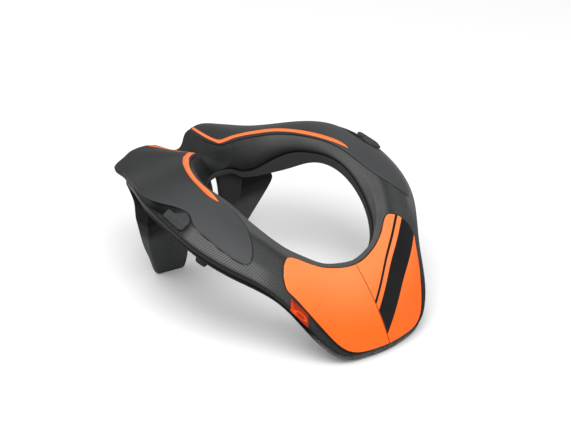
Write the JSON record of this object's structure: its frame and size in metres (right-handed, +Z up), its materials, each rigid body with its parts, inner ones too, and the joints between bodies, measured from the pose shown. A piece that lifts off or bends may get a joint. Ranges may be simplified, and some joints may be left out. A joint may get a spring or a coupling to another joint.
{
  "type": "neck brace",
  "caption": "Ring-shaped youth neck brace that splits at the front, with a sloping chest plate, shoulder arms, rear wings and back paddles; limits how far a rider's head can tip.",
  "frame": {"origin": "middle of the floor under the brace, where it stands on its two back paddles and the lower edge of the chest", "axes": "+Z up, the wearer faces -Y, the wearer's left is +X"},
  "size_m": [0.2686, 0.3156, 0.1419],
  "materials": {
    "shell": "moulded, fine ribs across the arms",
    "pad": "smooth closed-cell foam",
    "panel": "smooth satin",
    "stripe": "satin",
    "chest": "satin, with plain dark bands",
    "tab": "satin",
    "paddle": "moulded, fine grain",
    "tongue": "closed-cell foam",
    "hardware": "satin"
  },
  "bodies": {
    "brace": {"collar_shell": "shell", "base_pad": "pad", "shoulder_panel_left": "panel", "shoulder_panel_right": "panel", "trim_stripe_left": "stripe", "trim_stripe_right": "stripe", "chest_panel_left": "chest", "chest_panel_right": "chest", "back_paddle_left": "paddle", "back_paddle_right": "paddle", "neck_tongue_left": "tongue", "neck_tongue_right": "tongue", "strap_hook_left": "hardware", "strap_hook_right": "hardware", "strap_lug_left": "hardware", "strap_lug_right": "hardware"},
    "tab": {"release_tab": "tab"}
  },
  "joints": [
    {"name": "tab_lift", "type": "hinge", "parent": "brace", "child": "tab", "pos_m": [-0.0792, -0.11619, 0.06174], "axis": [-0.4192, 0.599, 0.6822], "range_deg": [0, 40]}
  ]
}
